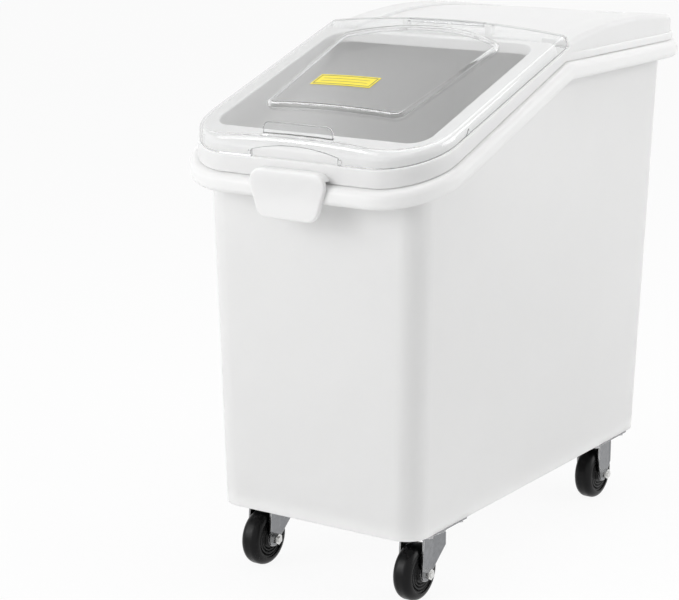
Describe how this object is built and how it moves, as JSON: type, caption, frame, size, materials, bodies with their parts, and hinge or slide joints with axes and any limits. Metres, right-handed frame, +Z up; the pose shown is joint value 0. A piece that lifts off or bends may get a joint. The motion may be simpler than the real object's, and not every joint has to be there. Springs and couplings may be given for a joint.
{
  "type": "rolling ingredient bin",
  "caption": "Tall tapered white food bin on casters with a sloped rim, a lift-off lid with handle and crowned deck, and a clear hinged flip lid over the front.",
  "frame": {"origin": "on the ground under the middle of the overall box", "axes": "+Z up, the low front of the bin with the lift handle faces -Y, the level deck is towards +Y"},
  "size_m": [0.3898, 0.7616, 0.7075],
  "materials": {
    "white_plastic": "satin moulded polypropylene",
    "lid_white": "smooth satin moulded polypropylene",
    "clear_plastic": "clear gloss polycarbonate",
    "yellow_sticker": "plain printed film",
    "zinc_plate": "bright zinc plate",
    "zinc_fork": "bright zinc plate",
    "washer_zinc": "zinc plate",
    "nut_zinc": "zinc plate",
    "bolt_steel": "zinc plated steel",
    "pin_steel": "turned steel",
    "ball_steel": "polished",
    "insert_brass": "turned brass",
    "hub_black": "gloss black nylon",
    "tyre_black": "gloss black polyurethane"
  },
  "bodies": {
    "bin": {"tub": "white_plastic", "caster_bolts": "bolt_steel", "caster_washers": "washer_zinc", "caster_inserts": "insert_brass", "front_left_plate": "zinc_plate", "front_left_kingpin": "pin_steel", "front_right_plate": "zinc_plate", "front_right_kingpin": "pin_steel", "rear_left_fork": "zinc_fork", "rear_left_axle_bolt": "bolt_steel", "rear_left_axle_nut": "nut_zinc", "rear_left_sleeve": "pin_steel", "rear_right_fork": "zinc_fork", "rear_right_axle_bolt": "bolt_steel", "rear_right_axle_nut": "nut_zinc", "rear_right_sleeve": "pin_steel"},
    "lid": {"lid_frame": "lid_white", "hinge_pin": "pin_steel"},
    "flip_lid": {"clear_lid": "clear_plastic", "label": "yellow_sticker"},
    "front_left_swivel": {"front_left_fork": "zinc_fork", "front_left_balls": "ball_steel", "front_left_axle_bolt": "bolt_steel", "front_left_axle_nut": "nut_zinc", "front_left_sleeve": "pin_steel"},
    "front_right_swivel": {"front_right_fork": "zinc_fork", "front_right_balls": "ball_steel", "front_right_axle_bolt": "bolt_steel", "front_right_axle_nut": "nut_zinc", "front_right_sleeve": "pin_steel"},
    "front_left_wheel": {"front_left_hub": "hub_black", "front_left_tyre": "tyre_black"},
    "front_right_wheel": {"front_right_hub": "hub_black", "front_right_tyre": "tyre_black"},
    "rear_left_wheel": {"rear_left_hub": "hub_black", "rear_left_tyre": "tyre_black"},
    "rear_right_wheel": {"rear_right_hub": "hub_black", "rear_right_tyre": "tyre_black"}
  },
  "joints": [
    {"name": "lid_lift", "type": "slide", "parent": "bin", "child": "lid", "axis": [0, 0, 1], "range_m": [0, 0.2]},
    {"name": "flip_lid_hinge", "type": "hinge", "parent": "lid", "child": "flip_lid", "pos_m": [0, -0.001, 0.7], "axis": [-1, 0, 0], "range_deg": [0, 150]},
    {"name": "front_left_swivel_turn", "type": "hinge", "parent": "bin", "child": "front_left_swivel", "pos_m": [-0.1174, -0.2305, 0.09], "axis": [0, 0, 1], "continuous": true},
    {"name": "front_right_swivel_turn", "type": "hinge", "parent": "bin", "child": "front_right_swivel", "pos_m": [0.1174, -0.2305, 0.09], "axis": [0, 0, 1], "continuous": true},
    {"name": "front_left_wheel_spin", "type": "hinge", "parent": "front_left_swivel", "child": "front_left_wheel", "pos_m": [-0.1174, -0.2655, 0.0375], "axis": [1, 0, 0], "continuous": true},
    {"name": "front_right_wheel_spin", "type": "hinge", "parent": "front_right_swivel", "child": "front_right_wheel", "pos_m": [0.1174, -0.2655, 0.0375], "axis": [1, 0, 0], "continuous": true},
    {"name": "rear_left_wheel_spin", "type": "hinge", "parent": "bin", "child": "rear_left_wheel", "pos_m": [-0.1174, 0.232, 0.0375], "axis": [1, 0, 0], "continuous": true},
    {"name": "rear_right_wheel_spin", "type": "hinge", "parent": "bin", "child": "rear_right_wheel", "pos_m": [0.1174, 0.232, 0.0375], "axis": [1, 0, 0], "continuous": true}
  ]
}
